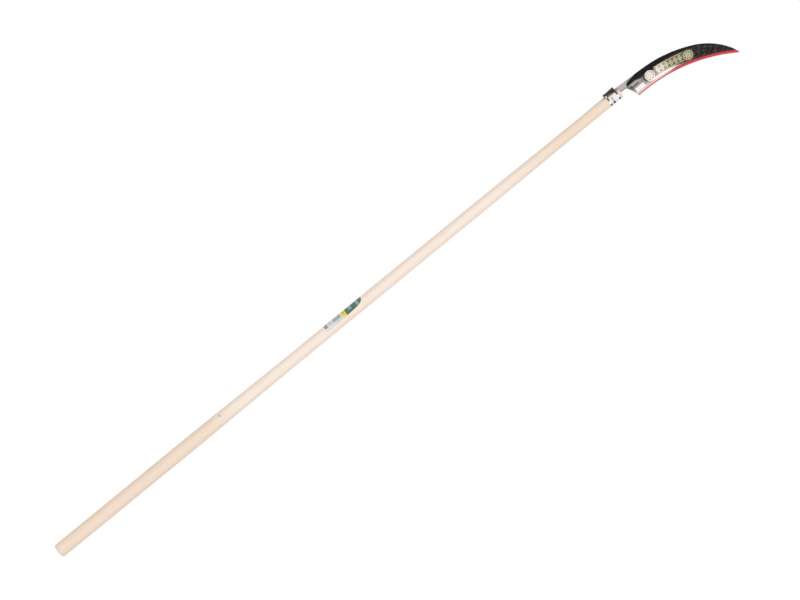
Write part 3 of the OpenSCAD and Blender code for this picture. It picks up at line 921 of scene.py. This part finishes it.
# %% [markdown]
# The foil is pale gold, almost cream where it is whole. In the hollows it has worn thin and the dark
# steel shows through olive, so the colour follows the height over the ground face.

# %% Gilt material
gilt, tree, shader = new_material("gilt")
at = use(tree, blade_place)
rub = clouds(at["Vector"], 0.8, 5.0, 0.7)
near_heel = fade(at["Along"], 76.0, 50.0)
hollows = mix(near_heel, (0.150, 0.128, 0.070), (0.44, 0.395, 0.30))
whole = mix(near_heel, (0.60, 0.55, 0.37), (0.95, 0.885, 0.81))
gold = mix(fade(at["Over Face"], 0.09, 0.17), hollows, whole)
gold = tint(gold, hollows, fade(rub, 0.52, 0.70), 0.6)
finish_with(shader, colour=gold, roughness=fade(rub, 0.2, 0.8, 0.30, 0.50), height=rub,
            strength=0.25, metallic=0.85)
for piece in ornament:
    dress(piece, gilt)
print(len(ornament), "pieces of foil dressed in", gilt.name)

# %% [markdown]
# ## The stickers
# The stickers are printed paper and film. What they show is only blocks, bars and bands of colour, which
# a small group draws: it gives a rectangle with soft edges, placed by its middle and its half size in
# millimetres. The wrapped stickers are measured along the pole and round it, so a bar keeps its width as
# it goes round.

# %% Printed block and bars groups
block_sockets = ("Along", "Across", "Middle Along", "Middle Across", "Half Length", "Half Width")
block, given, result = new_group("Printed Block", block_sockets, ("Mask",))
past_end = calc("SUBTRACT", gap(given["Along"], given["Middle Along"]), given["Half Length"])
past_side = calc("SUBTRACT", gap(given["Across"], given["Middle Across"]), given["Half Width"])
fill_sockets(result, {"Mask": fade(calc("MAXIMUM", past_end, past_side), 0.12, -0.12)})

bars, given, result = new_group("Printed Bars", ("Along", "Pitch", "Fill"), ("Mask",))
in_pitch = calc("FRACT", calc("DIVIDE", given["Along"], given["Pitch"]))
past_bar = calc("SUBTRACT", gap(in_pitch, 0.5), times(given["Fill"], 0.5))
fill_sockets(result, {"Mask": fade(past_bar, 0.06, -0.06)})

pole_round, given, result = new_group("Round The Pole", ("Radius",), ("Round",))
mm = use(pole_round, millimetres)
angle_round = calc("ARCTAN2", mm["Y"], mm["Z"])
fill_sockets(result, {"Round": times(angle_round, given["Radius"])})
print("groups:", block.name, bars.name, pole_round.name)


def print_on(base, place, ink, middle, half, strength=1.0, pattern=1.0):
    """Prints a block of ink on a colour at a place, whole or broken up by a pattern."""
    inputs = dict(zip(block_sockets, (*place, *middle, *half)))
    return tint(base, ink, times(use(place[0].id_data, block, inputs)["Mask"], pattern), strength)


# %% [markdown]
# The long sticker was put on a little askew: its lower edge climbs from the pole's middle towards the
# head, and its corner there is cut round. A copy of the solid is trimmed to that line with five straight
# cuts.

# %% Trimmed pole sticker
sticker = copy_of(nodes["pole_label"], "trimmed_sticker")
label_start = 1000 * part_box("pole_label")[0].x
trim = [(-1.0, -1.6), (40.0, -1.2), (83.0, 1.2), (92.0, 3.6), (96.5, 6.8), (99.0, 11.0)]
edit_all(sticker)
bpy.ops.mesh.remove_doubles(threshold=0.000002)
for (here_x, here_y), (there_x, there_y) in zip(trim, trim[1:]):
    cut_place = ((label_start + here_x) / 1000, here_y / 1000, 0)
    cut_normal = Vector((here_y - there_y, there_x - here_x, 0)).normalized()
    bpy.ops.mesh.select_all(action="SELECT")
    bpy.ops.mesh.bisect(plane_co=cut_place, plane_no=cut_normal, clear_inner=True, use_fill=True,
                        threshold=0.000005)
close_mesh(sticker)
shade_smooth()
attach(sticker, "sickle")
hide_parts("pole_label")

# %% Pole sticker material
pole_sticker, tree, shader = new_material("pole_sticker")
mm = use(tree, millimetres)
place = (calc("SUBTRACT", mm["X"], label_start), use(tree, pole_round, {"Radius": 13.0})["Round"])
fibre = clouds(mm["Vector"], 2.5, 3.0)
grey_ink, brown_ink, pale_ink = (0.22, 0.225, 0.22), (0.50, 0.38, 0.03), (0.34, 0.46, 0.41)
yellow = (0.84, 0.70, 0.065)
green = mix(fade(place[0], 56.0, 66.0), (0.070, 0.165, 0.070), (0.062, 0.150, 0.112))
green = tint(green, (0.12, 0.23, 0.19), fibre, 0.2)
even_bars = use(tree, bars, {"Along": place[0], "Pitch": 2.0, "Fill": 0.62})["Mask"]
close_bars = use(tree, bars, {"Along": place[1], "Pitch": 1.8, "Fill": 0.8})["Mask"]
face = mix(fibre, (0.67, 0.71, 0.685), (0.73, 0.76, 0.735))
for middle, half, strength, pattern in (((4.4, 14.0), (3.8, 8.5), 1.0, close_bars),
                                        ((32.5, 15.5), (9.4, 10.0), 1.0, even_bars),
                                        ((15.0, 12.5), (2.2, 2.6), 0.55, 1.0),
                                        ((34.0, 1.6), (8.0, 1.2), 0.28, 1.0)):
    face = print_on(face, place, grey_ink, middle, half, strength, pattern)
face = mix(fade(place[0], 46.0, 46.4), face, yellow)
face = print_on(face, place, brown_ink, (50.4, 11.5), (2.4, 3.6), 0.6)
face = mix(fade(place[0], 54.9, 55.3), face, green)
for middle, half in (((67.4, 11.0), (3.7, 5.2)), ((86.0, 8.4), (3.3, 5.4))):
    face = print_on(face, place, pale_ink, middle, half, 0.85)
finish_with(shader, colour=face, roughness=fade(fibre, 0.0, 1.0, 0.36, 0.46), height=fibre,
            strength=0.08, depth=0.00005)
dress(sticker, pole_sticker)
print("sticker starts", round(label_start), "mm from the butt")

# %% White sticker materials
white_sticker, tree, shader = new_material("white_sticker")
mm = use(tree, millimetres)
fibre = clouds(mm["Vector"], 2.0, 4.0)
place = (calc("SUBTRACT", mm["X"], 1000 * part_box("ring_label")[0].x),
         use(tree, pole_round, {"Radius": 11.8})["Round"])
face = mix(fibre, (0.84, 0.805, 0.835), (0.89, 0.86, 0.88))
for ink, middle, half, strength in (((0.42, 0.38, 0.41), (6.2, -2.2), (1.8, 5.2), 0.72),
                                    ((0.36, 0.32, 0.36), (6.2, 0.0), (2.0, 2.6), 0.7),
                                    ((0.012, 0.018, 0.11), (6.2, -11.6), (2.8, 3.8), 1.0)):
    face = print_on(face, place, ink, middle, half, strength)
finish_with(shader, colour=face, roughness=fade(fibre, 0.0, 1.0, 0.40, 0.52), height=fibre,
            strength=0.1, depth=0.00005)
dress(nodes["ring_label"], white_sticker)

heel_sticker, tree, shader = new_material("heel_sticker")
at = use(tree, blade_place)
fibre = clouds(at["Vector"], 2.0, 4.0)
paper = mix(fibre, (0.88, 0.86, 0.86), (0.93, 0.915, 0.91))
face = print_on(paper, (at["Along"], at["From Edge"]), (0.72, 0.66, 0.64), (-2.4, 10.2), (5.0, 0.35), 0.5)
finish_with(shader, colour=face, roughness=fade(fibre, 0.0, 1.0, 0.42, 0.55), height=fibre,
            strength=0.1, depth=0.00005)
dress(nodes["heel_label"], heel_sticker)
print("white stickers dressed")

# %% [markdown]
# ## Floor, light and background
# The photograph has a plain white ground and soft light that comes mostly from the lower right. A large
# lamp stands there and a dim white surround fills the rest. The floor would have to be overlit to look
# white, so the camera and the mirror-like rays see it partly by its own glow, and the object's shadow
# still shows on it. To other rays it is grey, so that it doesn't light the round pole from below and its
# sides stay a little darker than its top.

# %% Floor
floor_height = solid_box[0].z - 0.0002
floor_glow, glow_share = 1.035, 0.90
bpy.ops.object.select_all(action="DESELECT")
bpy.ops.mesh.primitive_plane_add(size=30, location=(0.9, 0, floor_height))
floor = bpy.context.object
floor.name = "floor"
floor_white, tree, shader = new_material("floor_white")
fill_sockets(shader, {"Base Color": (0.8, 0.8, 0.8, 1), "Roughness": 0.9, "Specular IOR Level": 0.0})
rays = put(tree, "LightPath").outputs
seen = calc("MAXIMUM", calc("MAXIMUM", rays["Is Camera Ray"], rays["Is Glossy Ray"]),
            rays["Is Transmission Ray"])
glow = put(tree, "Emission", {"Color": (1, 1, 1, 1), "Strength": floor_glow})
faint = put(tree, "MixShader", {0: glow_share, 1: shader.outputs[0], 2: glow.outputs[0]})
grey = put(tree, "BsdfDiffuse", {"Color": (0.36, 0.36, 0.36, 1)})
chosen = put(tree, "MixShader", {0: seen, 1: grey.outputs[0], 2: faint.outputs[0]})
tree.links.new(chosen.outputs[0], tree.nodes["Material Output"].inputs["Surface"])
dress(floor, floor_white)
print("floor at", round(1000 * floor_height, 1), "mm")

# %% [markdown]
# The surround is white to the camera. For light on the object it is a soft dome. Polished steel needs
# something to reflect besides white, so for mirror-like rays the part of the dome right overhead is a
# little darker, as the ceiling over a photographer's table is.

# %% World and lamps
dome_strength, ceiling_dimming = 0.80, 0.76
world = bpy.data.worlds.new("studio")
bpy.context.scene.world = world
world.use_nodes = True
tree = world.node_tree
rays = put(tree, "LightPath").outputs
sky = put(tree, "SeparateXYZ", {0: put(tree, "TexCoord").outputs["Generated"]})
overhead = fade(sky.outputs["Z"], math.cos(math.radians(34)), math.cos(math.radians(13)))
dome = tree.nodes["Background"]
fill_sockets(dome, {"Color": (1, 1, 1, 1), "Strength": dome_strength})
white = put(tree, "Background", {"Color": (1, 1, 1, 1), "Strength": 1.0})
ceiling = put(tree, "Background", {"Color": (1, 0.99, 0.98, 1),
                                   "Strength": fade(overhead, 0.0, 1.0, 1.0, ceiling_dimming)})
mirrored = put(tree, "MixShader", {0: rays["Is Glossy Ray"], 1: dome.outputs[0], 2: ceiling.outputs[0]})
seen = calc("MAXIMUM", rays["Is Camera Ray"], rays["Is Transmission Ray"])
chosen = put(tree, "MixShader", {0: seen, 1: mirrored.outputs[0], 2: white.outputs[0]})
tree.links.new(chosen.outputs[0], tree.nodes["World Output"].inputs["Surface"])


def lamp(name, place, aim, size, power):
    """A square area lamp that looks at a point."""
    data = bpy.data.lights.new(name, "AREA")
    data.size = size
    data.energy = power
    item = bpy.data.objects.new(name, data)
    item.location = place
    item.rotation_euler = (Vector(aim) - Vector(place)).to_track_quat("-Z", "Y").to_euler()
    bpy.context.scene.collection.objects.link(item)


lamp("key", (1.0, -2.9, 2.7), (0.9, 0, 0), 2.0, 34)
lamp("fill", (0.8, 2.9, 2.7), (0.9, 0, 0), 2.0, 24)
bpy.context.scene.view_settings.view_transform = "Standard"
print("lamps ready")
